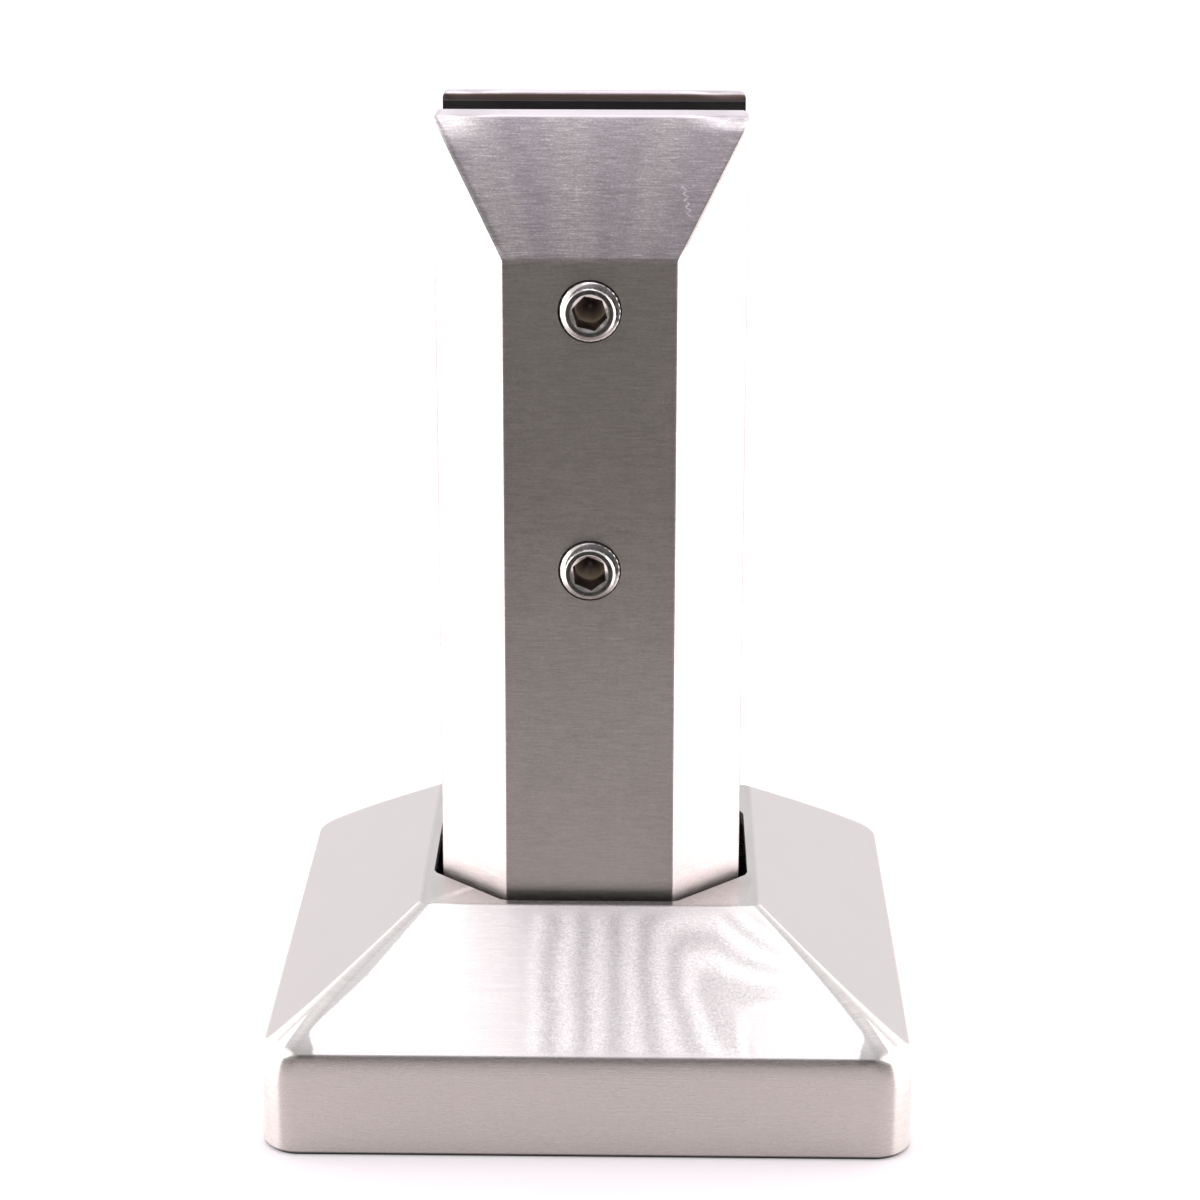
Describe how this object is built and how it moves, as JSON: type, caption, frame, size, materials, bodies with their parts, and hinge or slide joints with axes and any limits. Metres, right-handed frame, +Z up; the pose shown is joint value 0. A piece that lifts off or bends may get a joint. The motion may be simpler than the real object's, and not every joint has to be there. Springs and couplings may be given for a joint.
{
  "type": "glass railing spigot",
  "caption": "Floor-mounted square steel spigot that clamps the foot of a glass railing panel in a rubber-lined slot with set screws, with a pyramid-shaped slip-over base cover.",
  "frame": {"origin": "middle of the square footprint, on the floor", "axes": "+Z up along the post, -Y towards the side with the set screws, X along the glass"},
  "size_m": [0.105, 0.105, 0.162],
  "materials": {
    "satin_steel": "satin, brushed across",
    "cover_steel": "fine satin, hand polished slopes",
    "screw_steel": "bright",
    "plate_steel": "plain",
    "black_rubber": "matt"
  },
  "bodies": {
    "spigot": {"spigot_body": "satin_steel", "rear_gasket": "black_rubber", "glass_seat_pad": "black_rubber"},
    "cover": {"base_cover": "cover_steel"},
    "clamp_plate": {"pressure_plate": "plate_steel", "front_gasket": "black_rubber"},
    "upper_screw": {"upper_set_screw": "screw_steel"},
    "lower_screw": {"lower_set_screw": "screw_steel"}
  },
  "joints": [
    {"name": "cover_lift", "type": "slide", "parent": "spigot", "child": "cover", "axis": [0, 0, 1], "range_m": [0, 0.05]},
    {"name": "plate_slide", "type": "slide", "parent": "spigot", "child": "clamp_plate", "axis": [0, 1, 0], "range_m": [0, 0.0045]},
    {"name": "upper_screw_turn", "type": "hinge", "parent": "clamp_plate", "child": "upper_screw", "pos_m": [0, -0.01, 0.133], "axis": [0, 1, 0], "range_deg": [0, 1080]},
    {"name": "lower_screw_turn", "type": "hinge", "parent": "clamp_plate", "child": "lower_screw", "pos_m": [0, -0.01, 0.0905], "axis": [0, 1, 0], "range_deg": [0, 1080]}
  ],
  "couplings": [
    {"joint": "upper_screw_turn", "follows": "plate_slide", "rad_per_m": 4188.8},
    {"joint": "lower_screw_turn", "follows": "plate_slide", "rad_per_m": 4188.8}
  ]
}
